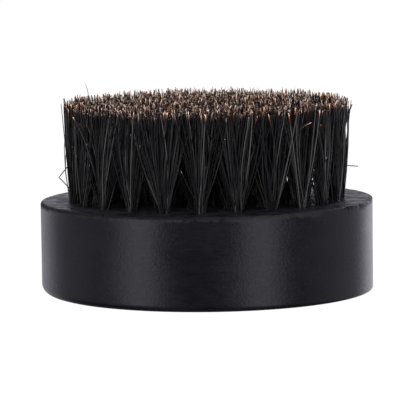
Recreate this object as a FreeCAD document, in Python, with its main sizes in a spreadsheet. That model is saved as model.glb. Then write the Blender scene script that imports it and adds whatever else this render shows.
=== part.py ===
import FreeCAD, Part
import os

import Sketcher

# Round palm beard brush. It stands on its flat back with the bristles up: +Z is the way the
# bristles point, and the origin is the centre of the flat back. The base is one turned piece of
# wood. Each tuft of bristles is folded double in a blind hole, in rings round a centre tuft, and a
# flat wire anchor through its fold bites into the wood on both sides of the hole.

# Tufts in each ring, from the inside out, and how far its first tuft is turned from -Y, in degrees.
# The tufts of a ring are evenly spaced. The turns stagger the rings, so that no gap runs straight
# through the brush.
RINGS = ((6, 15.0), (12, 5.0), (18, 15.0), (24, 0.0))
FRONT = -90.0

doc = FreeCAD.newDocument("beard_brush")


# ---------------------------------------------------------------- driving sizes, mm

DRIVING_SIZES = (
    ("base_radius", 28.0, "turned wooden base, outside"),
    ("base_height", 15.25, "flat back to the bristle face"),
    ("back_round", 1.2, "rounded edge round the back"),
    ("rim_round", 0.4, "softened edge round the bristle face"),
    ("edge_margin", 5.6, "centres of the outer holes to the wall"),
    ("hole_radius", 1.0, "drilled tuft hole"),
    ("hole_depth", 6.5, "tuft hole, down from the bristle face"),
    ("tuft_clearance", 0.05, "gap all round a tuft in its hole"),
    ("fold_depth", 0.9, "bristles under the anchor"),
    ("fold_round", 0.45, "rounding of the fold"),
    ("anchor_width", 1.4, "width of the flat anchor wire, which stands on edge"),
    ("anchor_thickness", 0.3, "thickness of the anchor wire"),
    ("anchor_bite", 0.25, "how far each end of an anchor goes into the wood"),
    ("bristle_length", 16.9, "bristle face to the tips"),
    ("tip_radial", 1.6, "half the depth of a tuft at its tip, along the base's radius"),
    ("tip_gap", 0.4, "gap between neighbouring tips in one ring"),
)
sizes = doc.addObject("Spreadsheet::Sheet", "sizes")
for row, (alias, value, meaning) in enumerate(DRIVING_SIZES, start=1):
    sizes.set(f"A{row}", alias)
    sizes.set(f"B{row}", str(value))
    sizes.set(f"C{row}", meaning)
    sizes.setAlias(f"B{row}", alias)
doc.recompute()

# Sizes worked out from the driving ones, as expressions that sketches and features share.
RING_PITCH = f"((sizes.base_radius - sizes.edge_margin) / {len(RINGS)})"
HOLE_FLOOR = "(sizes.base_height - sizes.hole_depth)"
ANCHOR_BOTTOM = f"({HOLE_FLOOR} + sizes.fold_depth)"
ANCHOR_TOP = f"({ANCHOR_BOTTOM} + sizes.anchor_width)"
ANCHOR_LENGTH = "(2 * (sizes.hole_radius + sizes.anchor_bite))"
TUFT_RADIUS = "(sizes.hole_radius - sizes.tuft_clearance)"
TIP_HEIGHT = "(sizes.base_height + sizes.bristle_length)"
TIP_WIDTH = f"({RING_PITCH} - sizes.tip_gap)"

# Sketcher's own numbers: the ends of a line, the centre of a circle, and a sketch's fixed axes.
START, END, CENTRE = 1, 2, 3
HORIZONTAL_AXIS, VERTICAL_AXIS = -1, -2
ORIGIN = (HORIZONTAL_AXIS, START)


# ---------------------------------------------------------------- bodies and sketches

def new_body(label):
    body = doc.addObject("PartDesign::Body", label)
    body.Label = label
    return body


def origin_item(body, role):
    return next(item for item in body.Origin.OriginFeatures if item.Role == role)


def new_sketch(body, name, role, raised_to=None, turn=0.0):
    """A sketch on one of the body's own planes, or raised from it to a height and turned."""
    sketch = body.newObject("Sketcher::SketchObject", name)
    sketch.AttachmentSupport = [(origin_item(body, role), "")]
    sketch.MapMode = "FlatFace"
    sketch.AttachmentOffset.Rotation = FreeCAD.Rotation(FreeCAD.Vector(0, 0, 1), turn)
    if raised_to:
        sketch.setExpression("AttachmentOffset.Base.z", raised_to)
    return sketch


def constrain(sketch, *terms):
    return sketch.addConstraint(Sketcher.Constraint(*terms))


def dimension(sketch, expression, *terms):
    """A dimension of the sketch, bound to an expression of the driving sizes."""
    index = constrain(sketch, *terms, 1.0)
    sketch.setExpression(f"Constraints[{index}]", expression)


def add_rectangle(sketch, width, height, left=0.0, low=0.0):
    """A rectangle of joined, square lines with its width and height. Returns the bottom line."""
    corners = ((0, 0), (1, 0), (1, 1), (0, 1))
    points = [FreeCAD.Vector(left + x, low + y, 0) for x, y in corners]
    lines = [sketch.addGeometry(Part.LineSegment(points[i], points[(i + 1) % 4])) for i in range(4)]
    for i in range(4):
        constrain(sketch, "Coincident", lines[i], END, lines[(i + 1) % 4], START)
        constrain(sketch, "Vertical" if i % 2 else "Horizontal", lines[i])
    bottom, right = lines[:2]
    dimension(sketch, width, "DistanceX", bottom, START, bottom, END)
    dimension(sketch, height, "DistanceY", right, START, right, END)
    return bottom


def add_circle(sketch, radius):
    """A circle about the sketch's origin."""
    circle = sketch.addGeometry(Part.Circle(FreeCAD.Vector(), FreeCAD.Vector(0, 0, 1), 1.0))
    constrain(sketch, "Coincident", circle, CENTRE, *ORIGIN)
    dimension(sketch, radius, "Radius", circle)


def add_feature(body, kind, name, profile=None):
    feature = body.newObject(f"PartDesign::{kind}", name)
    if profile:
        feature.Profile = profile
        profile.Visibility = False
    return feature


def round_edges_at(body, name, feature, height, radius):
    """A fillet on the feature's circular edges that lie flat at a height."""
    doc.recompute()
    edges = [
        f"Edge{index}"
        for index, edge in enumerate(feature.Shape.Edges, start=1)
        if isinstance(edge.Curve, Part.Circle) and abs(edge.BoundBox.ZMin - height) < 1e-6
        and edge.BoundBox.ZLength < 1e-6
    ]
    fillet = add_feature(body, "Fillet", name)
    fillet.Base = (feature, edges)
    fillet.setExpression("Radius", radius)
    return fillet


# ---------------------------------------------------------------- wooden base

def drill_ring(body, ring, count, turn):
    """The blind holes of one ring, each with the slot that its anchor cuts. Ring 0 is the centre."""
    hole_place = f"{RING_PITCH} * {ring}"

    hole_sketch = new_sketch(body, f"hole_sketch_{ring}", "XY_Plane", "sizes.base_height", turn)
    if ring:
        circle = hole_sketch.addGeometry(
            Part.Circle(FreeCAD.Vector(0, -5.0 * ring, 0), FreeCAD.Vector(0, 0, 1), 1.0)
        )
        constrain(hole_sketch, "PointOnObject", circle, CENTRE, VERTICAL_AXIS)
        dimension(hole_sketch, hole_place, "DistanceY", circle, CENTRE, *ORIGIN)
        dimension(hole_sketch, "sizes.hole_radius", "Radius", circle)
    else:
        add_circle(hole_sketch, "sizes.hole_radius")
    hole = add_feature(body, "Pocket", f"hole_{ring}", hole_sketch)
    hole.setExpression("Length", "sizes.hole_depth")

    slot_sketch = new_sketch(body, f"slot_sketch_{ring}", "XY_Plane", ANCHOR_TOP, turn)
    corner = add_rectangle(
        slot_sketch, "sizes.anchor_thickness", ANCHOR_LENGTH, left=-0.5, low=-5.0 * ring - 1.0
    )
    outer_end = f"{hole_place} + {ANCHOR_LENGTH} / 2"
    dimension(slot_sketch, "sizes.anchor_thickness / 2", "DistanceX", corner, START, *ORIGIN)
    dimension(slot_sketch, outer_end, "DistanceY", corner, START, *ORIGIN)
    slot = add_feature(body, "Pocket", f"slot_{ring}", slot_sketch)
    slot.setExpression("Length", "sizes.anchor_width")

    if ring:
        pattern = add_feature(body, "PolarPattern", f"ring_{ring}")
        pattern.Originals = [hole, slot]
        pattern.Axis = (origin_item(body, "Z_Axis"), [""])
        pattern.Angle = 360.0
        pattern.Occurrences = count
        body.Tip = pattern


def make_base():
    """One turned disc with rounded edges, then its holes."""
    body = new_body("base")
    profile = new_sketch(body, "base_profile", "XZ_Plane")
    corner = add_rectangle(profile, "sizes.base_radius", "sizes.base_height")
    constrain(profile, "Coincident", corner, START, *ORIGIN)
    blank = add_feature(body, "Revolution", "turned_blank", profile)
    blank.ReferenceAxis = (profile, ["V_Axis"])
    blank.Angle = 360.0
    back = round_edges_at(body, "back_edge", blank, 0.0, "sizes.back_round")
    round_edges_at(body, "rim_edge", back, sizes.get("base_height"), "sizes.rim_round")
    drill_ring(body, 0, 1, 0.0)
    for ring, (count, turn) in enumerate(RINGS, start=1):
        drill_ring(body, ring, count, turn)
    return body


# ---------------------------------------------------------------- tufts and anchors

def make_tuft(label, ring, angle):
    """One tuft: a round shank folded in its hole, fanning out to an oval tip above the wood.

    Its own X lies along the ring, where the fold lets it fan out, and its own Y along the radius.
    """
    body = new_body(label)
    shank_sketch = new_sketch(body, f"{label}_shank_sketch", "XY_Plane", HOLE_FLOOR)
    add_circle(shank_sketch, TUFT_RADIUS)
    shank = add_feature(body, "Pad", f"{label}_shank", shank_sketch)
    shank.setExpression("Length", "sizes.hole_depth")
    hole_floor = sizes.get("base_height") - sizes.get("hole_depth")
    round_edges_at(body, f"{label}_fold", shank, hole_floor, "sizes.fold_round")

    foot_sketch = new_sketch(body, f"{label}_foot_sketch", "XY_Plane", "sizes.base_height")
    add_circle(foot_sketch, TUFT_RADIUS)
    tip_sketch = new_sketch(body, f"{label}_tip_sketch", "XY_Plane", TIP_HEIGHT)
    oval = tip_sketch.addGeometry(Part.Ellipse(FreeCAD.Vector(), 2.0, 1.0))
    tip_sketch.exposeInternalGeometry(oval)
    long_axis, short_axis = oval + 1, oval + 2
    constrain(tip_sketch, "Coincident", oval, CENTRE, *ORIGIN)
    constrain(tip_sketch, "Horizontal", long_axis)
    dimension(tip_sketch, TIP_WIDTH, "Distance", long_axis)
    dimension(tip_sketch, "2 * sizes.tip_radial", "Distance", short_axis)
    fan = add_feature(body, "AdditiveLoft", f"{label}_fan", foot_sketch)
    fan.Sections = [tip_sketch]

    slot_sketch = new_sketch(body, f"{label}_slot_sketch", "XZ_Plane")
    corner = add_rectangle(
        slot_sketch, "sizes.anchor_thickness", "sizes.anchor_width", left=-0.5, low=9.0
    )
    dimension(slot_sketch, "sizes.anchor_thickness / 2", "DistanceX", corner, START, *ORIGIN)
    dimension(slot_sketch, ANCHOR_BOTTOM, "DistanceY", *ORIGIN, corner, START)
    slot = add_feature(body, "Pocket", f"{label}_slot", slot_sketch)
    slot.Type = "ThroughAll"
    slot.SideType = "Symmetric"

    body.Placement.Rotation = FreeCAD.Rotation(FreeCAD.Vector(0, 0, 1), angle - FRONT)
    body.setExpression("Placement.Base.x", f"{RING_PITCH} * {ring} * cos({angle})")
    body.setExpression("Placement.Base.y", f"{RING_PITCH} * {ring} * sin({angle})")
    return body


def make_anchor(name, ring, angle):
    """One short length of flat wire on edge, lying along the radius through a tuft's fold."""
    turn = angle - FRONT
    anchor = doc.addObject("Part::Box", name)
    anchor.setExpression("Length", "sizes.anchor_thickness")
    anchor.setExpression("Width", ANCHOR_LENGTH)
    anchor.setExpression("Height", "sizes.anchor_width")
    anchor.Placement.Rotation = FreeCAD.Rotation(FreeCAD.Vector(0, 0, 1), turn)
    inner_x = f"sizes.anchor_thickness / 2 * cos({turn}) - {ANCHOR_LENGTH} / 2 * sin({turn})"
    inner_y = f"sizes.anchor_thickness / 2 * sin({turn}) + {ANCHOR_LENGTH} / 2 * cos({turn})"
    anchor.setExpression("Placement.Base.x", f"{RING_PITCH} * {ring} * cos({angle}) - ({inner_x})")
    anchor.setExpression("Placement.Base.y", f"{RING_PITCH} * {ring} * sin({angle}) - ({inner_y})")
    anchor.setExpression("Placement.Base.z", ANCHOR_BOTTOM)
    return anchor


def make_group(label, members):
    """Like pieces that share one node, each still a solid of its own."""
    group = doc.addObject("Part::Compound", label)
    group.Label = label
    group.Links = members
    return group


# ---------------------------------------------------------------- the assembly

nodes = [make_base()]
inner_tufts = [make_tuft("tuft_centre", 0, FRONT)]
inner_anchors = [make_anchor("anchor_centre", 0, FRONT)]
for ring, (count, turn) in enumerate(RINGS, start=1):
    angles = [FRONT + turn + 360.0 * index / count for index in range(count)]
    tufts = [
        make_tuft(f"tuft_ring{ring}_{number:02d}", ring, angle)
        for number, angle in enumerate(angles, start=1)
    ]
    anchors = [
        make_anchor(f"anchor_ring{ring}_{number:02d}", ring, angle)
        for number, angle in enumerate(angles, start=1)
    ]
    if ring == 1:
        # The first ring shares its nodes with the centre, because only 60 files are kept.
        nodes.append(make_group("inner_tufts", inner_tufts + tufts))
        nodes.append(make_group("inner_anchors", inner_anchors + anchors))
    else:
        nodes += tufts
        nodes.append(make_group(f"anchors_ring{ring}", anchors))
doc.recompute()


# ---------------------------------------------------------------- checks and files

for item in doc.Objects:
    if "Invalid" in item.State or "Error" in item.State:
        raise RuntimeError(f"{item.Label} did not recompute: {item.State}")
    if item.TypeId in ("PartDesign::Pocket", "PartDesign::PolarPattern"):
        if item.Shape.Volume >= item.BaseFeature.Shape.Volume:
            raise RuntimeError(f"{item.Label} cuts nothing")
for node in nodes:
    if node.Shape.isNull() or not node.Shape.isValid():
        raise RuntimeError(f"{node.Label} has no valid shape")

os.makedirs("parts", exist_ok=True)
for node in nodes:
    node.Shape.exportStep(f"parts/{node.Label}.step")
print(f"{len(nodes)} nodes, {sum(len(node.Shape.Solids) for node in nodes)} solids")
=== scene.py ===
import math
import random

import bmesh
import bpy
from mathutils import Matrix, Vector, noise


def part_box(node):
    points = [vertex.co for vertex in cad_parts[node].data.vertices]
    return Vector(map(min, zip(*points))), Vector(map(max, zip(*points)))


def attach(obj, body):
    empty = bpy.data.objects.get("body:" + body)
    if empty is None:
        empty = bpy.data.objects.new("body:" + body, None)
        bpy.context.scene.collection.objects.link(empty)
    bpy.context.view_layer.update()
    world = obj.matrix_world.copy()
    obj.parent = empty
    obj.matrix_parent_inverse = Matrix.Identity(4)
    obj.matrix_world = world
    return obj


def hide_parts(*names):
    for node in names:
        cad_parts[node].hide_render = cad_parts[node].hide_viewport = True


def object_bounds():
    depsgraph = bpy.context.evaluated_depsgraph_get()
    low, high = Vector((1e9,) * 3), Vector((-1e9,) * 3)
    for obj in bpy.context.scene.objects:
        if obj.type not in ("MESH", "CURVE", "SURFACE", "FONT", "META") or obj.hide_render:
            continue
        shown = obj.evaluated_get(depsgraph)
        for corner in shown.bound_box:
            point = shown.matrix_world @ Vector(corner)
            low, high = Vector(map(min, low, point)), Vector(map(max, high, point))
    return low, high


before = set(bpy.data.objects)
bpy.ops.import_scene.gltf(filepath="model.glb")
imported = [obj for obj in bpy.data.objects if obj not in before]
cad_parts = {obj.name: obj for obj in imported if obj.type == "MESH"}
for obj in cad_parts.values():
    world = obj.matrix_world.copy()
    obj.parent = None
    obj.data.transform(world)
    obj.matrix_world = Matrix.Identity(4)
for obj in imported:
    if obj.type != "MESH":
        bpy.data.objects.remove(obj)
cad_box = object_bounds()


# ---------------------------------------------------------------- camera
# A long portrait lens on a stand, a little above the brush and a touch right of its front tuft.
# The brush stands level; the camera leans less than a degree, as a hand-set tripod head does.

CAMERA_DISTANCE = 0.3869
CAMERA_HEIGHT = 0.0561
CAMERA_AZIMUTH = math.radians(2.36)
CAMERA_DIP = math.radians(6.07)
CAMERA_LEAN = math.radians(-0.75)

camera_data = bpy.data.cameras.new("camera")
camera_data.lens = 207.2
camera_data.sensor_width = 36.0
camera_data.shift_x = -0.0162
camera_data.clip_start = 0.01
camera = bpy.data.objects.new("camera", camera_data)
bpy.context.scene.collection.objects.link(camera)
camera.matrix_world = (
    Matrix.Rotation(CAMERA_AZIMUTH, 4, "Z")
    @ Matrix.Translation((0, -CAMERA_DISTANCE, CAMERA_HEIGHT))
    @ Matrix.Rotation(math.pi / 2 - CAMERA_DIP, 4, "X")
    @ Matrix.Rotation(CAMERA_LEAN, 4, "Z")
)
bpy.context.scene.camera = camera
bpy.context.scene.view_settings.view_transform = "Standard"


# ---------------------------------------------------------------- studio
# A white paper floor, and a softbox high in front. Two upright softboxes stand left and right of it,
# two dim ones at the sides and two behind, as soft bands of light in an otherwise dim room.

def add(tree, kind, inputs=(), **settings):
    """Adds one node with its settings. An input takes a value, a socket or a node's first output."""
    node = tree.nodes.new(kind)
    for name, value in settings.items():
        setattr(node, name, value)
    for name, value in dict(inputs).items():
        if isinstance(value, bpy.types.Node):
            value = next(output for output in value.outputs if output.enabled)
        if isinstance(value, bpy.types.NodeSocket):
            tree.links.new(value, node.inputs[name])
        else:
            node.inputs[name].default_value = value
    return node


def colour(hex_code):
    """An sRGB hex colour as linear red, green, blue and alpha."""
    channels = [int(hex_code[i:i + 2], 16) / 255 for i in (1, 3, 5)]
    linear = [c / 12.92 if c <= 0.04045 else ((c + 0.055) / 1.055) ** 2.4 for c in channels]
    return (*linear, 1.0)


ROOM_LEVEL = 0.1
SOFTBOXES = (  # azimuth from the front in degrees, half width in degrees, brightness
    (-45.0, 9.5, 1.55),
    (39.5, 9.5, 1.5),
    (110.0, 25.0, 0.3),
    (-105.0, 30.0, 0.22),
    (155.0, 12.0, 1.3),
    (-160.0, 22.0, 0.7),
)

world = bpy.data.worlds.new("studio")
bpy.context.scene.world = world
world.use_nodes = True
tree = world.node_tree
tree.nodes.clear()
direction = add(tree, "ShaderNodeTexCoord")
parts = add(tree, "ShaderNodeSeparateXYZ", {0: direction.outputs["Generated"]})
toward = add(tree, "ShaderNodeMath", {0: parts.outputs["Y"], 1: -1.0}, operation="MULTIPLY")
azimuth = add(
    tree, "ShaderNodeMath", {0: parts.outputs["X"], 1: toward}, operation="ARCTAN2"
)
level = ROOM_LEVEL
for centre, half_width, brightness in SOFTBOXES:
    away = add(
        tree, "ShaderNodeMath", {0: azimuth, 1: math.radians(centre)}, operation="SUBTRACT"
    )
    turned = add(tree, "ShaderNodeMath", {0: away}, operation="COSINE")
    edge = math.cos(math.radians(half_width * 1.8))
    band = add(
        tree, "ShaderNodeMapRange",
        {"Value": turned, "From Min": edge, "From Max": 1.0,
         "To Min": 0.0, "To Max": brightness},
        interpolation_type="SMOOTHSTEP",
    )
    level = add(tree, "ShaderNodeMath", {0: level, 1: band}, operation="ADD")
# The light ends above and below the softboxes.
for edge_height, full_height in ((-0.6, -0.2), (0.85, 0.35)):
    kept = add(
        tree, "ShaderNodeMapRange",
        {"Value": parts.outputs["Z"], "From Min": edge_height, "From Max": full_height,
         "To Min": 0.15, "To Max": 1.0},
        interpolation_type="SMOOTHSTEP",
    )
    level = add(tree, "ShaderNodeMath", {0: level, 1: kept}, operation="MULTIPLY")
room = add(
    tree, "ShaderNodeBackground", {"Color": colour("#f2f1ff"), "Strength": level}
)
paper = add(tree, "ShaderNodeBackground", {"Color": colour("#ffffff"), "Strength": 1.0})
path = add(tree, "ShaderNodeLightPath")
seen = add(tree, "ShaderNodeMixShader", {0: path.outputs["Is Camera Ray"]})
tree.links.new(room.outputs[0], seen.inputs[1])
tree.links.new(paper.outputs[0], seen.inputs[2])
add(tree, "ShaderNodeOutputWorld", {"Surface": seen})


def link(thing):
    bpy.context.scene.collection.objects.link(thing)
    return thing


HIGH_FRONT_PLACE = Vector((-0.12, -0.7, 0.5))
HIGH_FRONT_AIM = Vector((0, 0, 0.02)) - HIGH_FRONT_PLACE
softbox = bpy.data.lights.new("high_front_softbox", "AREA")
softbox.shape = "SQUARE"
softbox.size = 0.7
softbox.energy = 7.0
high_front = link(bpy.data.objects.new("high_front_softbox", softbox))
aimed = HIGH_FRONT_AIM.to_track_quat("-Z", "Y").to_matrix().to_4x4()
high_front.matrix_world = Matrix.Translation(HIGH_FRONT_PLACE) @ aimed
high_front.visible_glossy = False

FLOOR_SIZE = 6.0
floor_mesh = bpy.data.meshes.new("floor")
half = FLOOR_SIZE / 2
floor_mesh.from_pydata(
    [(-half, -half, 0), (half, -half, 0), (half, half, 0), (-half, half, 0)], [], [(0, 1, 2, 3)]
)
floor = link(bpy.data.objects.new("floor", floor_mesh))
floor.visible_glossy = False
# Matt background paper, lit until it burns out to white. A small part of what shows is the paper
# itself, which leaves a trace of shadow round the brush.
paper_material = bpy.data.materials.new("white_paper")
paper_material.use_nodes = True
tree = paper_material.node_tree
tree.nodes.clear()
matt = add(tree, "ShaderNodeBsdfDiffuse", {"Color": colour("#f6f6f6")})
bright = add(tree, "ShaderNodeEmission", {"Strength": 1.06})
path = add(tree, "ShaderNodeLightPath")
burnt_out = add(tree, "ShaderNodeMath", {0: path.outputs["Is Camera Ray"], 1: 0.94}, operation="MULTIPLY")
surface = add(
    tree, "ShaderNodeMixShader", {0: burnt_out, 1: matt, 2: bright}
)
add(tree, "ShaderNodeOutputMaterial", {"Surface": surface})
floor_mesh.materials.append(paper_material)


# ---------------------------------------------------------------- wooden base
# One disc of beech, turned on a lathe and drilled with a blind hole for each tuft. Its back and its
# rim are rounded with sandpaper by hand, so neither edge is quite even, and the rim has small chips.
# It is stained black and sprayed with satin lacquer.

MM = 0.001
BASE_LOW, BASE_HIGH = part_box("base")
BASE_RADIUS = (BASE_HIGH.x - BASE_LOW.x) / 2
FACE_HEIGHT = BASE_HIGH.z
TURNS = 720  # steps round the disc
BACK_STEPS = 8  # steps round the back edge of the profile
RIM_STEPS = 6
BACK_ROUND = 0.95 * MM
BACK_ROUND_DRIFT = 0.5 * MM  # both edges are rounded more on one side than on the other
BACK_ROUND_WAVE = 0.12 * MM  # and it wavers three times on the way round
RIM_ROUND = 0.3 * MM
RIM_ROUND_DRIFT = 0.14 * MM
EDGE_SUPPORT = 0.2 * MM  # a row of points close to each edge, which keeps the flats flat
WALL_STEP = 0.5 * MM
SANDED_DEPTH = 0.035 * MM  # how far the wall strays from a true cylinder
SANDED_LENGTH = 9.0 * MM
CHIP_DROP = 1.6 * RIM_ROUND  # how far down the wall a chip reaches
CHIP_GRAIN = 0.35 * MM  # size of the ragged bits in a chip
CHIPS = (  # along the rim: degrees from the front, width in mm, depth in mm
    (57.4, 0.4, 0.4), (59.4, 0.3, 0.3), (55.6, 0.3, 0.2), (66.0, 0.3, 0.3), (-34.0, 0.2, 0.1),
    (118.0, 0.5, 0.2), (171.0, 0.35, 0.16), (-104.0, 0.5, 0.18),
)


def arc(centre, radius, first, last, steps):
    """Points of a round edge in the profile, angles in degrees from straight out."""
    angles = [math.radians(first + (last - first) * i / steps) for i in range(steps + 1)]
    return [(centre[0] + radius * math.cos(a), centre[1] + radius * math.sin(a)) for a in angles]


def base_profile(back_round, rim_round):
    """The turned outline from the back to the bristle face, as distances from the axis and heights."""
    wall_low = back_round + EDGE_SUPPORT
    wall_high = FACE_HEIGHT - rim_round - EDGE_SUPPORT
    steps = round(FACE_HEIGHT / WALL_STEP)
    wall = [(BASE_RADIUS, wall_low + (wall_high - wall_low) * i / steps) for i in range(steps + 1)]
    back = arc((BASE_RADIUS - back_round, back_round), back_round, -90, 0, BACK_STEPS)
    rim = arc((BASE_RADIUS - rim_round, FACE_HEIGHT - rim_round), rim_round, 0, 90, RIM_STEPS)
    inner_back = (BASE_RADIUS - back_round - EDGE_SUPPORT, 0.0)
    inner_face = (BASE_RADIUS - rim_round - EDGE_SUPPORT, FACE_HEIGHT)
    return [inner_back] + back + wall + rim + [inner_face]


def turned_disc():
    """The disc before drilling. Its point attribute chipped is 1 in the middle of a chip."""
    bm = bmesh.new()
    chipped = bm.verts.layers.float.new("chipped")
    columns = []
    for step in range(TURNS):
        angle = math.tau * step / TURNS
        out = Vector((math.sin(angle), -math.cos(angle), 0))
        back_round = BACK_ROUND - BACK_ROUND_DRIFT * out.x + BACK_ROUND_WAVE * math.sin(3 * angle + 1)
        rim_round = RIM_ROUND - RIM_ROUND_DRIFT * out.x
        column = []
        for reach, height in base_profile(back_round, rim_round):
            at = out * reach + Vector((0, 0, height))
            sanded = noise.noise(at / SANDED_LENGTH) * SANDED_DEPTH
            edge = max(0.0, 1 - (FACE_HEIGHT - height) / CHIP_DROP)
            rough = 0.75 + 0.5 * noise.noise(at / CHIP_GRAIN)
            chip, chip_dark_spot = 0.0, 0.0
            for degrees, width, depth in CHIPS:
                away = (math.degrees(angle) - degrees + 180) % 360 - 180
                gap = math.radians(away) * BASE_RADIUS / (width * MM)
                drop = (FACE_HEIGHT - height) / (3.0 * width * MM)
                if abs(gap) < 2 and reach > BASE_RADIUS - rim_round - EDGE_SUPPORT / 2:
                    chip -= depth * MM * edge * rough * math.exp(-gap * gap * 2)
                    # how strongly the chip and the wall under it are painted nearly black
                    chip_dark_spot = max(chip_dark_spot, math.exp(-gap * gap * 3 - drop * drop * 3))
            vert = bm.verts.new(at + out * (sanded + chip) + Vector((0, 0, chip * edge)))
            vert[chipped] = chip_dark_spot
            column.append(vert)
        columns.append(column)
    for step, column in enumerate(columns):
        following = columns[(step + 1) % TURNS]
        for row in range(len(column) - 1):
            bm.faces.new((column[row], following[row], following[row + 1], column[row + 1]))
    bm.faces.new([column[0] for column in reversed(columns)])
    bm.faces.new([column[-1] for column in columns])
    bmesh.ops.recalc_face_normals(bm, faces=bm.faces)
    mesh = bpy.data.meshes.new("base_turned")
    bm.to_mesh(mesh)
    bm.free()
    return mesh


HOLE_RADIUS = 1.0 * MM
HOLE_DEPTH = 6.5 * MM
DRILL_OVERSHOOT = 1.0 * MM
RINGS = {1: (6, 15.0), 2: (12, 5.0), 3: (18, 15.0), 4: (24, 0.0)}  # tufts, and turn in degrees
RING_PITCH = math.hypot(*((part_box("tuft_ring4_01")[0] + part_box("tuft_ring4_01")[1]) / 2).xy) / 4


def tuft_places():
    """Ring, number, angle from the front and place on the face of every tuft, centre first."""
    yield 0, 1, 0.0, Vector((0, 0, FACE_HEIGHT))
    for ring, (count, turn) in RINGS.items():
        for number in range(1, count + 1):
            angle = math.radians(turn) + math.tau * (number - 1) / count
            reach = RING_PITCH * ring
            place = Vector((reach * math.sin(angle), -reach * math.cos(angle), FACE_HEIGHT))
            yield ring, number, angle, place


def drill():
    """All the tuft holes as one mesh of plain cylinders, to cut from the disc."""
    bm = bmesh.new()
    for _, _, _, place in tuft_places():
        middle = place.z + (DRILL_OVERSHOOT - HOLE_DEPTH) / 2
        bmesh.ops.create_cone(
            bm, cap_ends=True, segments=24, radius1=HOLE_RADIUS, radius2=HOLE_RADIUS,
            depth=HOLE_DEPTH + DRILL_OVERSHOOT, matrix=Matrix.Translation((place.x, place.y, middle)),
        )
    mesh = bpy.data.meshes.new("drill")
    bm.to_mesh(mesh)
    bm.free()
    return mesh


def finished_mesh(thing):
    """The object's mesh with its modifiers applied, and none left on it."""
    graph = bpy.context.evaluated_depsgraph_get()
    mesh = bpy.data.meshes.new_from_object(thing.evaluated_get(graph))
    thing.modifiers.clear()
    thing.data = mesh
    mesh.name = thing.name
    return thing


# Beech, stained and lacquered, looks nearly black. The satin coat draws the softboxes out into broad
# soft bands, and the grain hardly shows.
wood = bpy.data.materials.new("black_lacquered_beech")
wood.use_nodes = True
tree = wood.node_tree
shader = tree.nodes["Principled BSDF"]
place = add(tree, "ShaderNodeTexCoord")
# Beech grain runs along the disc's X: its fine lines are 0.35 mm apart and about two millimetres long.
grain_size = add(
    tree, "ShaderNodeMapping",
    {"Vector": place.outputs["Object"], "Rotation": (0, math.radians(8), 0),
     "Scale": (1 / (2.2 * MM), 1 / (0.35 * MM), 1 / (0.35 * MM))},
)
grain = add(
    tree, "ShaderNodeTexNoise",
    {"Vector": grain_size, "Scale": 1.0, "Detail": 3.0, "Roughness": 0.65},
)
# The stain soaked in a little unevenly, in soft patches about 6 mm long.
patch_size = add(
    tree, "ShaderNodeMapping",
    {"Vector": place.outputs["Object"], "Scale": (1 / (6.0 * MM), 1 / (5.0 * MM), 1 / (4.0 * MM))},
)
patches = add(
    tree, "ShaderNodeTexNoise",
    {"Vector": patch_size, "Scale": 1.0, "Detail": 3.0, "Roughness": 0.55},
)
# Sprayed lacquer has a faint orange peel. Its pits are drawn 0.45 mm apart, coarse enough to show.
peel = add(
    tree, "ShaderNodeTexNoise",
    {"Vector": place.outputs["Object"], "Scale": 1 / (0.45 * MM), "Detail": 2.0, "Roughness": 0.6},
)
stain = add(tree, "ShaderNodeValToRGB", {0: patches.outputs["Fac"]})
for element, (position, hex_code) in zip(
    stain.color_ramp.elements, ((0.3, "#0c0b0f"), (0.7, "#131217"))
):
    element.position = position
    element.color = colour(hex_code)
lines = add(
    tree, "ShaderNodeMapRange",
    {"Value": grain.outputs["Fac"], "From Min": 0.35, "From Max": 0.65, "To Min": 0.85, "To Max": 1.25},
)
stained = add(
    tree, "ShaderNodeHueSaturation", {"Color": stain, "Value": lines}
)
# Handling wore the lacquer thin under the rim, in broken patches that reach about a millimetre down.
height = add(tree, "ShaderNodeSeparateXYZ", {0: place.outputs["Object"]})
near_rim = add(
    tree, "ShaderNodeMapRange",
    {"Value": height.outputs["Z"], "From Min": FACE_HEIGHT - 1.5 * MM, "From Max": FACE_HEIGHT - 0.6 * MM},
)
rubbed = add(
    tree, "ShaderNodeTexNoise",
    {"Vector": place.outputs["Object"], "Scale": 1 / (2.5 * MM), "Detail": 5.0, "Roughness": 0.75},
)
worn = add(
    tree, "ShaderNodeMath", {0: near_rim, 1: 0.3, 2: rubbed.outputs["Fac"]},
    operation="MULTIPLY_ADD",
)
worn = add(tree, "ShaderNodeMapRange", {"Value": worn, "From Min": 0.72, "From Max": 0.86})
rubbed_grey = add(
    tree, "ShaderNodeMix",
    {"Factor": worn, "A": stained, "B": colour("#252428")}, data_type="RGBA",
)
# A painted reflection: the corner between wall and face is painted near-black in a thin line,
# strongest on the side where the corner is rounder, for the dark that the rounder corner mirrors.
corner = add(
    tree, "ShaderNodeMapRange",
    {"Value": height.outputs["Z"], "From Min": FACE_HEIGHT - 0.6 * MM, "From Max": FACE_HEIGHT - 0.4 * MM,
     "To Max": 0.75},
)
outward = add(
    tree, "ShaderNodeVectorMath", {0: place.outputs["Object"], 1: (1.0, 1.0, 0.0)}, operation="MULTIPLY"
)
from_axis = add(tree, "ShaderNodeVectorMath", {0: outward}, operation="LENGTH")
at_corner = add(
    tree, "ShaderNodeMapRange",
    {"Value": from_axis.outputs["Value"], "From Min": BASE_RADIUS - 0.5 * MM,
     "From Max": BASE_RADIUS - 0.3 * MM},
)
rounder_side = add(
    tree, "ShaderNodeMapRange",
    {"Value": height.outputs["X"], "From Min": 14 * MM, "From Max": -4 * MM, "To Min": 0.1},
)
corner = add(
    tree, "ShaderNodeMath", {0: corner, 1: at_corner}, operation="MULTIPLY"
)
corner = add(
    tree, "ShaderNodeMath", {0: corner, 1: rounder_side}, operation="MULTIPLY"
)
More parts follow.
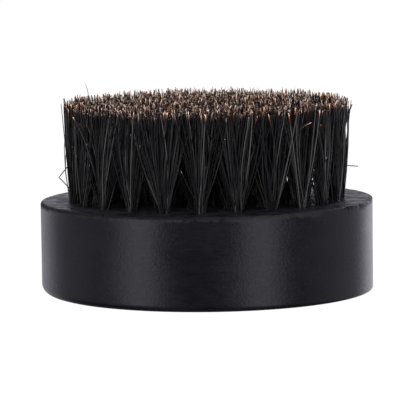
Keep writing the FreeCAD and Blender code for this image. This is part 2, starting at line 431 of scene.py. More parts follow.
# the painted dark reflection along the rim corner
rim_with_painted_reflection = add(
    tree, "ShaderNodeMix",
    {"Factor": corner, "A": rubbed_grey, "B": colour("#060607")},
    data_type="RGBA",
)
# Where the rim is chipped, the chip and a little of the wall under it are painted nearly black and matt.
chipped = add(tree, "ShaderNodeAttribute", attribute_name="chipped")
chip_darkening = add(
    tree, "ShaderNodeMapRange", {"Value": chipped.outputs["Fac"], "From Min": 0.25, "From Max": 0.6}
)
finish = add(
    tree, "ShaderNodeMix",
    {"Factor": chip_darkening, "A": rim_with_painted_reflection, "B": colour("#050405")},
    data_type="RGBA",
)
# Satin lacquer: smoother where it stands thicker, rougher in the grain lines, on the worn rim and
# in the chips.
satin = add(
    tree, "ShaderNodeMath", {0: patches.outputs["Fac"], 1: 0.4, 2: grain.outputs["Fac"]},
    operation="MULTIPLY_ADD",
)
polish = add(
    tree, "ShaderNodeMapRange",
    {"Value": satin, "From Min": 0.45, "From Max": 0.95, "To Min": 0.25, "To Max": 0.38},
)
dulled = add(
    tree, "ShaderNodeMath", {0: worn, 1: 0.25, 2: polish}, operation="MULTIPLY_ADD"
)
dulled = add(
    tree, "ShaderNodeMath", {0: chip_darkening, 1: 0.5, 2: dulled},
    operation="MULTIPLY_ADD",
)
dulled = add(
    tree, "ShaderNodeMath", {0: corner, 1: 0.35, 2: dulled},
    operation="MULTIPLY_ADD",
)
relief = add(
    tree, "ShaderNodeMath",
    {0: grain.outputs["Fac"], 1: 0.4, 2: peel.outputs["Fac"]}, operation="MULTIPLY_ADD",
)
bump = add(
    tree, "ShaderNodeBump", {"Height": relief, "Strength": 1.0, "Distance": 0.03 * MM}
)
tree.links.new(finish.outputs["Result"], shader.inputs["Base Color"])
tree.links.new(dulled.outputs[0], shader.inputs["Roughness"])
tree.links.new(bump.outputs[0], shader.inputs["Normal"])

base = link(bpy.data.objects.new("base_turned", turned_disc()))
cutter = link(bpy.data.objects.new("drill", drill()))
cut = base.modifiers.new("drill", "BOOLEAN")
cut.object = cutter
cut.solver = "EXACT"
finished_mesh(base)
bpy.data.objects.remove(cutter)
base.data.polygons.foreach_set("use_smooth", [True] * len(base.data.polygons))
base.data.set_sharp_from_angle(angle=math.radians(35))
base.data.materials.clear()
base.data.materials.append(wood)
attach(base, "root")
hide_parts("base")


# ---------------------------------------------------------------- anchors
# A short piece of flat steel wire stands on edge across the bottom of each hole. It was driven in
# over the middle of the bristles, and its ends bite into the wood on both sides.

# Drawn steel is a bright grey metal. The die leaves it finely scored, which shows as a slight
# unevenness in its grey and its gloss.
wire = bpy.data.materials.new("drawn_steel_wire")
wire.use_nodes = True
tree = wire.node_tree
shader = tree.nodes["Principled BSDF"]
shader.inputs["Metallic"].default_value = 1.0
place = add(tree, "ShaderNodeTexCoord")
scoring = add(
    tree, "ShaderNodeTexNoise",
    {"Vector": place.outputs["Object"], "Scale": 1 / (0.08 * MM), "Detail": 3.0},
)
tarnish = add(
    tree, "ShaderNodeMix",
    {"Factor": scoring.outputs["Fac"], "A": colour("#8f9093"), "B": colour("#c3c4c6")},
    data_type="RGBA",
)
dulled = add(
    tree, "ShaderNodeMapRange", {"Value": scoring.outputs["Fac"], "To Min": 0.25, "To Max": 0.45}
)
tree.links.new(tarnish.outputs["Result"], shader.inputs["Base Color"])
tree.links.new(dulled.outputs[0], shader.inputs["Roughness"])
for node in ("inner_anchors", "anchors_ring2", "anchors_ring3", "anchors_ring4"):
    for material_slot in bpy.data.objects[node].material_slots:
        material_slot.material = wire


# ---------------------------------------------------------------- bristle tufts
# Each tuft is a bundle of black boar bristles, folded in half under its anchor and pulled into the
# hole, so both legs of a bristle stand up. The tuft fans out along its ring. The natural ends are
# pale and split, the root ends are dark, and all are trimmed roughly level.

LEGS = 2
LEG_POINTS = 6  # from the mouth of the hole to the tip
HOLE_POINTS = 2  # the fold itself, and the leg beside the anchor's lower edge
MIDDLE = LEG_POINTS + HOLE_POINTS - 1
BRISTLE_SIDES = 4
SPLIT_ENDS = 2  # thin hairs at each natural end
SPLIT_POINTS = 4
SPLIT_SIDES = 3
THICKNESS = 0.175 * MM
HALF_BRISTLE = 0.12 * MM  # half of the thickest one, and a little room
FOLD_HEIGHT = 0.45 * MM - HOLE_DEPTH  # from the mouth of the hole, so below it
ANCHOR_LOW = 0.9 * MM - HOLE_DEPTH  # the anchor's lower edge
ANCHOR_SIDE = 0.15 * MM  # half the thickness of the wire
MOUTH_SIDE = 0.05 * MM  # how near the middle of the hole a leg may stand, at the mouth
SHORTEST, LONGEST = 0.954, 1.036  # of the mean length, after trimming
FOOT_DRAW, TIP_DRAW, BOW_DRAW, LOOKS_DRAW, SPLIT_DRAW = 11, 23, 37, 41, 53  # sets of random numbers

# Boar bristle is horn, so it is smooth. It looks nearly black, with a soft grey sheen down its
# length, and its natural end turns brown, then rust, then straw.
bristle = bpy.data.materials.new("black_boar_bristle")
bristle.use_nodes = True
tree = bristle.node_tree
shader = tree.nodes["Principled BSDF"]
shader.inputs["Roughness"].default_value = 0.4
shader.inputs["IOR"].default_value = 1.55
from_tip, pale_length, shade, warmth = (
    add(tree, "ShaderNodeAttribute", attribute_name=name).outputs["Fac"]
    for name in ("from_tip", "pale_length", "shade", "warmth")
)
share = add(tree, "ShaderNodeMath", {0: from_tip, 1: pale_length}, operation="DIVIDE")
pale_end = add(tree, "ShaderNodeValToRGB", {0: share})
dark_part = add(tree, "ShaderNodeValToRGB", {0: shade})
for ramp, stops in (  # each stop: position, colour, opacity
    (pale_end.color_ramp, (
        (0.0, "#f3dfc2", 1.0), (0.13, "#b0714a", 1.0), (0.34, "#642c18", 1.0), (0.7, "#28100a", 0.85),
        (1.0, "#100d0b", 0.0),
    )),
    (dark_part.color_ramp, (
        (0.0, "#060606", 1.0), (0.5, "#0e0d0d", 1.0), (0.75, "#2b2a29", 1.0), (1.0, "#555350", 1.0),
    )),
):
    while len(ramp.elements) < len(stops):
        ramp.elements.new(0.5)
    for element, (position, hex_code, opacity) in zip(ramp.elements, stops):
        element.position = position
        element.color = (*colour(hex_code)[:3], opacity)
lightness = add(tree, "ShaderNodeMapRange", {"Value": shade, "To Min": 0.25, "To Max": 1.9})
warmed = add(
    tree, "ShaderNodeHueSaturation",
    {"Color": pale_end.outputs["Color"], "Saturation": warmth, "Value": lightness},
)
hair = add(
    tree, "ShaderNodeMix",
    {"Factor": pale_end.outputs["Alpha"], "A": dark_part.outputs["Color"], "B": warmed},
    data_type="RGBA",
)
tree.links.new(hair.outputs["Result"], shader.inputs["Base Color"])


def draws(tree, group, number, draw):
    """Three random numbers from 0 to 1 for this bristle, leg or hair."""
    seed = add(tree, "ShaderNodeMath", {0: group["Seed"], 1: draw}, operation="ADD")
    drawn = add(
        tree, "FunctionNodeRandomValue", {"ID": number, "Seed": seed}, data_type="FLOAT_VECTOR"
    )
    return add(tree, "ShaderNodeSeparateXYZ", {0: drawn}).outputs


def stray(tree, drawn):
    """Turns a draw into a number from -1 to 1 that is mostly near 0."""
    even = add(tree, "ShaderNodeMath", {0: drawn, 1: 2.0, 2: -1.0}, operation="MULTIPLY_ADD")
    size = add(tree, "ShaderNodeMath", {0: even}, operation="ABSOLUTE")
    size = add(tree, "ShaderNodeMath", {0: size, 1: 1.5}, operation="POWER")
    sign = add(tree, "ShaderNodeMath", {0: even}, operation="SIGN")
    return add(tree, "ShaderNodeMath", {0: size, 1: sign}, operation="MULTIPLY")


def drawn_leg(tree, group, leg_id, side):
    """Everything that is drawn once for a leg: its foot, its tip, its length and its looks."""
    foot = draws(tree, group, leg_id, FOOT_DRAW)
    tip = draws(tree, group, leg_id, TIP_DRAW)
    bow = draws(tree, group, leg_id, BOW_DRAW)
    looks = draws(tree, group, leg_id, LOOKS_DRAW)

    # The foot is anywhere in the hole on its own side of the anchor.
    radius = group["Hole Radius"]
    foot_y = add(tree, "ShaderNodeMath", {0: foot[1], 1: 1.9, 2: -0.95}, operation="MULTIPLY_ADD")
    foot_y = add(tree, "ShaderNodeMath", {0: foot_y, 1: radius}, operation="MULTIPLY")
    radius_squared = add(tree, "ShaderNodeMath", {0: radius, 1: radius}, operation="MULTIPLY")
    foot_squared = add(tree, "ShaderNodeMath", {0: foot_y, 1: foot_y}, operation="MULTIPLY")
    edge_x = add(tree, "ShaderNodeMath", {0: radius_squared, 1: foot_squared}, operation="SUBTRACT")
    edge_x = add(tree, "ShaderNodeMath", {0: edge_x}, operation="SQRT")
    feet = []
    for nearest in (MOUTH_SIDE, ANCHOR_SIDE + HALF_BRISTLE):
        room = add(tree, "ShaderNodeMath", {0: edge_x, 1: nearest}, operation="SUBTRACT")
        room = add(tree, "ShaderNodeMath", {0: room, 1: 0.0}, operation="MAXIMUM")
        foot_x = add(tree, "ShaderNodeMath", {0: room, 1: foot[0], 2: nearest}, operation="MULTIPLY_ADD")
        feet.append(add(tree, "ShaderNodeMath", {0: foot_x, 1: side}, operation="MULTIPLY"))
    mouth_x, beside_anchor_x = feet

    # The tip may lean in over the brush twice as far as out over the rim.
    fanned = add(
        tree, "ShaderNodeMath", {0: mouth_x, 1: group["Spread"], 2: group["Lean"]},
        operation="MULTIPLY_ADD",
    )
    tip_x = add(
        tree, "ShaderNodeMath", {0: stray(tree, tip[0]), 1: group["Fan Width"], 2: fanned},
        operation="MULTIPLY_ADD",
    )
    across = stray(tree, tip[1])
    inward = add(tree, "ShaderNodeMath", {0: across, 1: 0.0}, operation="MAXIMUM")
    across = add(tree, "ShaderNodeMath", {0: across, 1: inward}, operation="ADD")
    spread_y = add(tree, "ShaderNodeMath", {0: foot_y, 1: 1.2}, operation="MULTIPLY")
    tip_y = add(
        tree, "ShaderNodeMath", {0: across, 1: group["Fan Depth"], 2: spread_y},
        operation="MULTIPLY_ADD",
    )

    # Most legs reach the trimmed top. A few are broken off lower down.
    trimmed = add(
        tree, "ShaderNodeMath", {0: tip[2], 1: LONGEST - SHORTEST, 2: SHORTEST}, operation="MULTIPLY_ADD"
    )
    is_short = add(tree, "ShaderNodeMath", {0: foot[2], 1: group["Short Ends"]}, operation="LESS_THAN")
    short = add(tree, "ShaderNodeMath", {0: looks[1], 1: 0.55, 2: 0.35}, operation="MULTIPLY_ADD")
    scale = add(tree, "ShaderNodeMix", {"Factor": is_short, "A": trimmed, "B": short})
    length = add(tree, "ShaderNodeMath", {0: group["Length"], 1: scale}, operation="MULTIPLY")

    # A natural end is pale for 0.6 to 3 mm, and a cut root end for 0.05 to 0.35 mm.
    natural = add(tree, "ShaderNodeMath", {0: looks[0], 1: group["Natural Ends"]}, operation="LESS_THAN")
    pale = add(tree, "ShaderNodeMath", {0: looks[1], 1: 2.0}, operation="POWER")
    pale = add(tree, "ShaderNodeMath", {0: pale, 1: 2.4, 2: 0.6}, operation="MULTIPLY_ADD")
    dull = add(tree, "ShaderNodeMath", {0: looks[1], 1: 0.3, 2: 0.05}, operation="MULTIPLY_ADD")
    pale = add(tree, "ShaderNodeMix", {"Factor": natural, "A": dull, "B": pale})
    shade = add(tree, "ShaderNodeMath", {0: bow[2], 1: 1.6}, operation="POWER")
    warmth = add(tree, "ShaderNodeMath", {0: looks[2], 1: 0.8, 2: 0.4}, operation="MULTIPLY_ADD")
    thickness = add(tree, "ShaderNodeMath", {0: looks[2], 1: 0.4, 2: 0.8}, operation="MULTIPLY_ADD")
    thickness = add(
        tree, "ShaderNodeMath", {0: thickness, 1: group["Thickness"]}, operation="MULTIPLY"
    )
    return {
        "beside_anchor_x": beside_anchor_x,
        "mouth": (mouth_x, foot_y),
        "tip": (tip_x, tip_y),
        "bow": (stray(tree, bow[0]), stray(tree, bow[1])),
        "length": length,
        "natural": natural,
        "thickness": thickness,
        "looks": {"pale_length": pale, "shade": shade, "warmth": warmth},
    }


def on_leg(tree, group, leg, height):
    """The leg's x and y at this height over the mouth of the hole."""
    risen = add(tree, "ShaderNodeMath", {0: height, 1: leg["length"]}, operation="DIVIDE")
    half_turn = add(tree, "ShaderNodeMath", {0: risen, 1: math.pi}, operation="MULTIPLY")
    belly = add(tree, "ShaderNodeMath", {0: half_turn}, operation="SINE")
    belly = add(tree, "ShaderNodeMath", {0: belly, 1: group["Bow"]}, operation="MULTIPLY")
    place = []
    for mouth, tip, bow in zip(leg["mouth"], leg["tip"], leg["bow"]):
        lean = add(tree, "ShaderNodeMath", {0: tip, 1: mouth}, operation="SUBTRACT")
        straight = add(tree, "ShaderNodeMath", {0: lean, 1: risen, 2: mouth}, operation="MULTIPLY_ADD")
        bowed = add(tree, "ShaderNodeMath", {0: bow, 1: belly, 2: straight}, operation="MULTIPLY_ADD")
        place.append(bowed)
    return place


def upright_lines(tree, points, amount):
    """This many copies of one line with this many points, and the number of each copy."""
    line = add(tree, "GeometryNodeCurvePrimitiveLine", {"Start": (0, 0, 0), "End": (0, 0, 1)})
    divided = add(tree, "GeometryNodeResampleCurve", {"Curve": line, "Count": points})
    return add(
        tree, "GeometryNodeDuplicateElements", {"Geometry": divided, "Amount": amount}, domain="SPLINE"
    ).outputs


def tubes(tree, curves, sides, kept=()):
    """Tubes along the curves, with radius_here as their radius, around from 0 to 1, and these values."""
    for name, value in dict(kept).items():
        curves = add(
            tree, "GeometryNodeStoreNamedAttribute", {"Geometry": curves, "Name": name, "Value": value},
            data_type="FLOAT", domain="POINT",
        )
    circle = add(tree, "GeometryNodeCurvePrimitiveCircle", {"Resolution": sides, "Radius": 1.0})
    turn = add(tree, "GeometryNodeSplineParameter").outputs["Factor"]
    profile = add(
        tree, "GeometryNodeStoreNamedAttribute", {"Geometry": circle, "Name": "around", "Value": turn},
        data_type="FLOAT", domain="POINT",
    )
    radius = add(tree, "GeometryNodeInputNamedAttribute", {"Name": "radius_here"}, data_type="FLOAT")
    return add(
        tree, "GeometryNodeCurveToMesh",
        {"Curve": curves, "Profile Curve": profile, "Scale": radius, "Fill Caps": True},
    )


def mapped(tree, geometry, across, up):
    """Gives the mesh a map of its own, for the export to bake into."""
    corner = add(tree, "ShaderNodeCombineXYZ", {0: across, 1: up})
    return add(
        tree, "GeometryNodeStoreNamedAttribute", {"Geometry": geometry, "Name": "OFBake", "Value": corner},
        data_type="FLOAT2", domain="CORNER",
    )


def finished_bristles(tree, geometry):
    """Ends a tree with smooth, real bristles in their material."""
    smooth = add(tree, "GeometryNodeSetShadeSmooth", {"Geometry": geometry})
    real = add(tree, "GeometryNodeRealizeInstances", {"Geometry": smooth})
    finished = add(tree, "GeometryNodeSetMaterial", {"Geometry": real, "Material": bristle})
    add(tree, "NodeGroupOutput", {0: finished})


def tuft_tree():
    """Geometry Nodes for one tuft, standing in its hole."""
    tree = bpy.data.node_groups.new("bristle_tuft", "GeometryNodeTree")
    sockets = {}
    for name, kind in (
        ("Bristles", "Int"), ("Hole Radius", "Float"), ("Spread", "Float"), ("Fan Width", "Float"),
        ("Fan Depth", "Float"), ("Length", "Float"), ("Thickness", "Float"), ("Bow", "Float"),
        ("Natural Ends", "Float"), ("Short Ends", "Float"), ("Lean", "Float"), ("Place", "Vector"),
        ("Turn", "Float"), ("Seed", "Int"),
    ):
        sockets[name] = tree.interface.new_socket(
            name, in_out="INPUT", socket_type=f"NodeSocket{kind}"
        ).identifier
    tree.interface.new_socket("Geometry", in_out="OUTPUT", socket_type="NodeSocketGeometry")
    group = add(tree, "NodeGroupInput").outputs

    # The bristles. Points count from one tip, down through the fold, to the other tip.
    lines, number = upright_lines(tree, LEGS * MIDDLE + 1, group["Bristles"])
    parameter = add(tree, "GeometryNodeSplineParameter").outputs
    from_fold = add(tree, "ShaderNodeMath", {0: parameter["Index"], 1: MIDDLE}, operation="SUBTRACT")
    side = add(tree, "ShaderNodeMath", {0: from_fold}, operation="SIGN")
    second = add(tree, "ShaderNodeMath", {0: from_fold, 1: 0.0}, operation="GREATER_THAN")
    leg_id = add(tree, "ShaderNodeMath", {0: number, 1: LEGS, 2: second}, operation="MULTIPLY_ADD")
    leg = drawn_leg(tree, group, leg_id, side)
    steps_up = add(tree, "ShaderNodeMath", {0: from_fold}, operation="ABSOLUTE")
    above = add(tree, "ShaderNodeMath", {0: steps_up, 1: HOLE_POINTS}, operation="SUBTRACT")
    above = add(tree, "ShaderNodeMath", {0: above, 1: 0.0}, operation="MAXIMUM")
    above = add(tree, "ShaderNodeMath", {0: above, 1: LEG_POINTS - 1}, operation="DIVIDE")
    # Points are closer together towards the tip, where the colour changes.
    left = add(tree, "ShaderNodeMath", {0: 1.0, 1: above}, operation="SUBTRACT")
    left = add(tree, "ShaderNodeMath", {0: left, 1: 1.5}, operation="POWER")
    risen = add(tree, "ShaderNodeMath", {0: 1.0, 1: left}, operation="SUBTRACT")
    height = add(tree, "ShaderNodeMath", {0: leg["length"], 1: risen}, operation="MULTIPLY")
    x, y = on_leg(tree, group, leg, height)
    at_fold = add(tree, "ShaderNodeMath", {0: steps_up, 1: 0.5}, operation="LESS_THAN")
    in_hole = add(tree, "ShaderNodeMath", {0: steps_up, 1: HOLE_POINTS - 0.5}, operation="LESS_THAN")
    depth = add(tree, "ShaderNodeMix", {"Factor": at_fold, "A": ANCHOR_LOW, "B": FOLD_HEIGHT})
    z = add(tree, "ShaderNodeMix", {"Factor": in_hole, "A": height, "B": depth})
    x = add(tree, "ShaderNodeMix", {"Factor": in_hole, "A": x, "B": leg["beside_anchor_x"]})
    position = add(tree, "ShaderNodeCombineXYZ", {0: x, 1: y, 2: z})
    legs = add(tree, "GeometryNodeSetPosition", {"Geometry": lines, "Position": position})
    # Each leg keeps its thickness, and narrows by a fifth at the tip.
    taper = add(tree, "ShaderNodeMath", {0: left, 1: 4.0}, operation="MULTIPLY")
    taper = add(tree, "ShaderNodeMath", {0: taper, 1: 1.0}, operation="MINIMUM")
    taper = add(tree, "ShaderNodeMath", {0: taper, 1: 0.2, 2: 0.8}, operation="MULTIPLY_ADD")
    radius = add(tree, "ShaderNodeMath", {0: leg["thickness"], 1: 0.5}, operation="MULTIPLY")
    radius = add(tree, "ShaderNodeMath", {0: radius, 1: taper}, operation="MULTIPLY")
    from_tip = add(tree, "ShaderNodeMath", {0: leg["length"], 1: z}, operation="SUBTRACT")
    from_tip = add(tree, "ShaderNodeMath", {0: from_tip, 1: 1000.0}, operation="MULTIPLY")
    legs = tubes(tree, legs, BRISTLE_SIDES, {
        "from_tip": from_tip, **leg["looks"], "number": number, "along": parameter["Factor"],
        "radius_here": radius,
    })

    # The split ends, two thin hairs that part just under the tip of each natural end.
    hairs = add(
        tree, "ShaderNodeMath", {0: group["Bristles"], 1: LEGS * SPLIT_ENDS}, operation="MULTIPLY"
    )
    lines, number = upright_lines(tree, SPLIT_POINTS, hairs)
    leg_id = add(tree, "ShaderNodeMath", {0: number, 1: 0.5}, operation="ADD")
    leg_id = add(tree, "ShaderNodeMath", {0: leg_id, 1: SPLIT_ENDS}, operation="DIVIDE")
    leg_id = add(tree, "ShaderNodeMath", {0: leg_id}, operation="FLOOR")
    side = add(tree, "ShaderNodeMath", {0: leg_id, 1: LEGS}, operation="FLOORED_MODULO")
    side = add(tree, "ShaderNodeMath", {0: side, 1: 2.0, 2: -1.0}, operation="MULTIPLY_ADD")
    leg = drawn_leg(tree, group, leg_id, side)
    split = draws(tree, group, number, SPLIT_DRAW)
    along = add(tree, "GeometryNodeSplineParameter").outputs["Factor"]
    reach = add(tree, "ShaderNodeMath", {0: split[0], 1: 0.3, 2: 0.25}, operation="MULTIPLY_ADD")
    reach = add(tree, "ShaderNodeMath", {0: reach, 1: MM}, operation="MULTIPLY")
    beyond = add(tree, "ShaderNodeMath", {0: along, 1: 1.0, 2: -0.5}, operation="MULTIPLY_ADD")
    beyond = add(tree, "ShaderNodeMath", {0: beyond, 1: reach}, operation="MULTIPLY")
    height = add(tree, "ShaderNodeMath", {0: leg["length"], 1: beyond}, operation="ADD")
    x, y = on_leg(tree, group, leg, height)
    width = add(tree, "ShaderNodeMath", {0: split[1], 1: 0.4, 2: 0.1}, operation="MULTIPLY_ADD")
    width = add(tree, "ShaderNodeMath", {0: reach, 1: width}, operation="MULTIPLY")
    parted = add(tree, "ShaderNodeMath", {0: along, 1: 1.5}, operation="POWER")
    parted = add(tree, "ShaderNodeMath", {0: parted, 1: width}, operation="MULTIPLY")
    heading = add(tree, "ShaderNodeMath", {0: number, 1: 0.5}, operation="MULTIPLY")
    heading = add(tree, "ShaderNodeMath", {0: split[2], 1: heading}, operation="ADD")
    heading = add(tree, "ShaderNodeMath", {0: heading, 1: math.tau}, operation="MULTIPLY")
    heading_x = add(tree, "ShaderNodeMath", {0: heading}, operation="COSINE")
    heading_y = add(tree, "ShaderNodeMath", {0: heading}, operation="SINE")
    x = add(tree, "ShaderNodeMath", {0: heading_x, 1: parted, 2: x}, operation="MULTIPLY_ADD")
    y = add(tree, "ShaderNodeMath", {0: heading_y, 1: parted, 2: y}, operation="MULTIPLY_ADD")
    position = add(tree, "ShaderNodeCombineXYZ", {0: x, 1: y, 2: height})
    ends = add(tree, "GeometryNodeSetPosition", {"Geometry": lines, "Position": position})
    missing = add(tree, "ShaderNodeMath", {0: 1.0, 1: leg["natural"]}, operation="SUBTRACT")
    ends = add(
        tree, "GeometryNodeDeleteGeometry", {"Geometry": ends, "Selection": missing}, domain="CURVE"
    )
    thin = add(tree, "ShaderNodeMath", {0: along, 1: -0.12, 2: 0.3}, operation="MULTIPLY_ADD")
    radius = add(tree, "ShaderNodeMath", {0: leg["thickness"], 1: thin}, operation="MULTIPLY")
    # A hair is a little paler than the bristle at the same distance from the tip.
    from_tip = add(tree, "ShaderNodeMath", {0: 1.0, 1: along}, operation="SUBTRACT")
    from_tip = add(tree, "ShaderNodeMath", {0: from_tip, 1: reach}, operation="MULTIPLY")
    from_tip = add(tree, "ShaderNodeMath", {0: from_tip, 1: 600.0}, operation="MULTIPLY")
    ends = tubes(tree, ends, SPLIT_SIDES, {
        "from_tip": from_tip, **leg["looks"], "number": number, "along": along, "radius_here": radius,
    })

    # A map with an upright strip for each bristle, and a narrow one beside them for its split ends.
    around, along, number = (
        add(tree, "GeometryNodeInputNamedAttribute", {"Name": name}, data_type="FLOAT")
        for name in ("around", "along", "number")
    )
    in_strip = add(tree, "ShaderNodeMath", {0: around, 1: 0.8, 2: 0.1}, operation="MULTIPLY_ADD")
    strip = add(tree, "ShaderNodeMath", {0: number, 1: in_strip}, operation="ADD")
    strip = add(tree, "ShaderNodeMath", {0: strip, 1: group["Bristles"]}, operation="DIVIDE")
    strip = add(tree, "ShaderNodeMath", {0: strip, 1: 0.8}, operation="MULTIPLY")
    legs = mapped(tree, legs, strip, along)
    ends_each = LEGS * SPLIT_ENDS
    hair = add(tree, "ShaderNodeMath", {0: number, 1: 0.5}, operation="ADD")
    row = add(tree, "ShaderNodeMath", {0: hair, 1: ends_each}, operation="FLOORED_MODULO")
    row = add(tree, "ShaderNodeMath", {0: row}, operation="FLOOR")
    column = add(tree, "ShaderNodeMath", {0: hair, 1: ends_each}, operation="DIVIDE")
    column = add(tree, "ShaderNodeMath", {0: column}, operation="FLOOR")
    strip = add(tree, "ShaderNodeMath", {0: column, 1: in_strip}, operation="ADD")
    strip = add(tree, "ShaderNodeMath", {0: strip, 1: group["Bristles"]}, operation="DIVIDE")
    strip = add(tree, "ShaderNodeMath", {0: strip, 1: 0.2, 2: 0.8}, operation="MULTIPLY_ADD")
    lifted = add(tree, "ShaderNodeMath", {0: along, 1: 0.8, 2: 0.1}, operation="MULTIPLY_ADD")
    lifted = add(tree, "ShaderNodeMath", {0: row, 1: lifted}, operation="ADD")
    lifted = add(tree, "ShaderNodeMath", {0: lifted, 1: ends_each}, operation="DIVIDE")
    ends = mapped(tree, ends, strip, lifted)

    both = add(tree, "GeometryNodeJoinGeometry", {0: legs})
    tree.links.new(ends.outputs[0], both.inputs[0])
    turn = add(tree, "ShaderNodeCombineXYZ", {2: group["Turn"]})
    placed = add(
        tree, "GeometryNodeTransform",
        {"Geometry": both, "Translation": group["Place"], "Rotation": turn},
    )
    finished_bristles(tree, placed)
    return tree, sockets


TUFT_TREE, TUFT_SOCKETS = tuft_tree()
TUFT_LENGTH = cad_box[1].z - FACE_HEIGHT
FRONT_TRIM = 1.0 * MM  # the front of the brush is trimmed a little shorter
OUTER_RING = max(RINGS)


def grow(name, mesh, tree, sockets, values):
    """The plain mesh object that a Geometry Nodes tree makes of this mesh with these input values."""
    thing = link(bpy.data.objects.new(name, mesh))
    modifier = thing.modifiers.new("grow", "NODES")
    modifier.node_group = tree
    for socket, value in values.items():
        modifier[sockets[socket]] = value
    return finished_mesh(thing)


chance = random.Random(7)
for seed, (ring, number, angle, place) in enumerate(tuft_places()):
    name = f"bristles_ring{ring}_{number:02d}"
    towards_front = (1 + math.cos(angle)) / 2 * ring / OUTER_RING
    tuft = grow(name, bpy.data.meshes.new(name), TUFT_TREE, TUFT_SOCKETS, {
        "Bristles": chance.randint(42, 46),
        "Hole Radius": HOLE_RADIUS - HALF_BRISTLE,
        "Spread": chance.uniform(1.7, 2.9),
        "Fan Width": chance.uniform(3.2, 5.2) * MM,
        "Fan Depth": (0.9 if ring == OUTER_RING else 2.4) * MM,
        "Length": TUFT_LENGTH * chance.uniform(0.985, 1.005) - FRONT_TRIM * towards_front,
        "Thickness": THICKNESS,
        "Bow": (0.8 if ring == OUTER_RING else 1.2) * MM,
        "Natural Ends": 0.3,
        "Short Ends": 0.04,
        "Lean": chance.uniform(-0.5, 0.5) * MM,
        "Place": place,
        "Turn": angle,
        "Seed": seed,
    })
    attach(tuft, "root")
    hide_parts(f"tuft_ring{ring}_{number:02d}" if ring > 1 else "inner_tufts")


# ---------------------------------------------------------------- loose bristles
# A few bristles sprang out of their tufts when the brush was trimmed and handled: one is kinked,
# one lies flat, some stand off at the sides, and some cross to the next tuft. They are boar bristles
# like the rest.

LOOSE_POINTS = 16  # along each one
MAPPED_LEG = 24.0  # millimetres of bristle that fill the height of the map
LOOSE_BRISTLES = (  # thickness in mm, pale end in mm, shade, warmth, then points in mm from foot to tip
    # the kinked one on the left
    (0.17, 0.3, 0.55, 1.0, (-22.0, 0.0, 14.5), (-22.8, 0.0, 16.6), (-24.8, 0.0, 18.9), (-24.85, 0.0, 19.1),
     (-23.4, 0.0, 20.9), (-22.6, 0.0, 22.0)),
    # the one that lies flat on the right
    (0.16, 0.2, 0.8, 1.0, (22.0, 0.0, 20.7), (23.6, 0.0, 20.6), (25.6, 0.0, 20.45)),
    # a fine grey hair over the back left
    (0.1, 4.0, 1.0, 0.15, (-19.6, 2.0, 30.0), (-20.0, 2.0, 33.6), (-20.6, 2.0, 35.1)),
    # two that stand off on the right
    (0.26, 1.4, 0.2, 1.1, (22.6, 0.0, 14.5), (23.0, 0.0, 22.5), (23.3, 0.0, 26.2), (23.9, 0.0, 29.0),
     (24.65, 0.0, 30.9)),
    (0.22, 0.5, 0.1, 0.9, (22.6, 0.5, 14.5), (23.0, 0.5, 22.0), (23.5, 0.5, 28.0), (23.9, 0.5, 32.0)),
    # two on the left
    (0.24, 0.4, 0.2, 0.8, (-22.8, 0.0, 17.0), (-23.1, 0.0, 29.0), (-23.5, 0.0, 30.7), (-23.85, 0.0, 32.4)),
    (0.18, 0.3, 0.4, 0.8, (-23.0, 0.3, 20.0), (-23.4, 0.3, 25.5), (-23.8, 0.3, 27.4), (-23.7, 0.3, 28.9)),
    # a thin pale one that curves out at the front right
    (0.11, 3.6, 0.5, 0.6, (15.7, -15.9, 14.5), (15.6, -17.2, 25.0), (15.9, -17.6, 27.8), (16.8, -18.0, 28.8),
     (17.7, -18.5, 29.2)),
    # one that leans across the front left tufts
    (0.2, 1.3, 0.75, 1.0, (-15.9, -15.9, 14.5), (-16.4, -15.8, 16.8), (-18.9, -14.4, 25.7),
     (-21.0, -13.4, 30.1)),
    # four that cross between two tufts at the front right
    (0.2, 0.8, 0.3, 1.0, (16.4, -15.4, 14.5), (17.5, -14.5, 18.6), (19.3, -13.0, 28.5)),
    (0.19, 0.5, 0.5, 0.8, (16.5, -15.3, 14.5), (17.9, -13.9, 17.4), (20.2, -11.9, 23.0)),
    (0.21, 1.0, 0.4, 1.0, (18.9, -11.7, 14.5), (17.9, -12.8, 18.3), (15.7, -14.2, 29.0)),
    (0.18, 0.4, 0.2, 0.9, (18.8, -11.9, 14.5), (17.2, -13.1, 17.2), (14.9, -14.9, 22.0)),
    # a broken end at the front left
    (0.15, 0.4, 0.8, 0.7, (-15.6, -16.2, 14.5), (-14.9, -16.9, 16.6), (-13.4, -17.6, 21.8)),
)


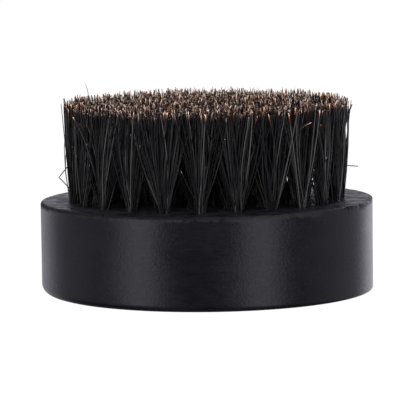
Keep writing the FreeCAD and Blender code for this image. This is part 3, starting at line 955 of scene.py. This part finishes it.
def loose_bristle_tree():
    """Geometry Nodes that turn edge lines with stored attributes into smooth bristles."""
    tree = bpy.data.node_groups.new("loose_bristles", "GeometryNodeTree")
    tree.interface.new_socket("Geometry", in_out="INPUT", socket_type="NodeSocketGeometry")
    points = tree.interface.new_socket("Points", in_out="INPUT", socket_type="NodeSocketInt")
    tree.interface.new_socket("Geometry", in_out="OUTPUT", socket_type="NodeSocketGeometry")
    group = add(tree, "NodeGroupInput").outputs
    curve = add(tree, "GeometryNodeMeshToCurve", {"Mesh": group["Geometry"]})
    curved = add(tree, "GeometryNodeCurveSplineType", {"Curve": curve}, spline_type="CATMULL_ROM")
    divided = add(tree, "GeometryNodeResampleCurve", {"Curve": curved, "Count": group["Points"]})
    bristles = tubes(tree, divided, BRISTLE_SIDES)
    around, number, from_tip = (
        add(tree, "GeometryNodeInputNamedAttribute", {"Name": name}, data_type="FLOAT")
        for name in ("around", "number", "from_tip")
    )
    strip = add(tree, "ShaderNodeMath", {0: around, 1: 0.8, 2: number}, operation="MULTIPLY_ADD")
    strip = add(tree, "ShaderNodeMath", {0: strip, 1: len(LOOSE_BRISTLES)}, operation="DIVIDE")
    up = add(tree, "ShaderNodeMath", {0: from_tip, 1: MAPPED_LEG}, operation="DIVIDE")
    finished_bristles(tree, mapped(tree, bristles, strip, up))
    return tree, {"Points": points.identifier}


points, edges = [], []
looks = {"number": [], "radius_here": [], "pale_length": [], "shade": [], "warmth": [], "from_tip": []}
for number, (thickness, pale, shade, warmth, *route) in enumerate(LOOSE_BRISTLES):
    edges += [(len(points) + i, len(points) + i + 1) for i in range(len(route) - 1)]
    route = [Vector(point) for point in route]
    for i, point in enumerate(route):
        points.append(point * MM)
        to_go = sum((b - a).length for a, b in zip(route[i:], route[i + 1:]))
        for name, value in zip(looks, (number, thickness * MM / 2, pale, shade, warmth, to_go)):
            looks[name].append(value)
routes = bpy.data.meshes.new("loose_bristles")
routes.from_pydata(points, edges, [])
for name, values in looks.items():
    routes.attributes.new(name, "FLOAT", "POINT").data.foreach_set("value", values)
loose = grow("loose_bristles", routes, *loose_bristle_tree(), {"Points": LOOSE_POINTS})
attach(loose, "root")
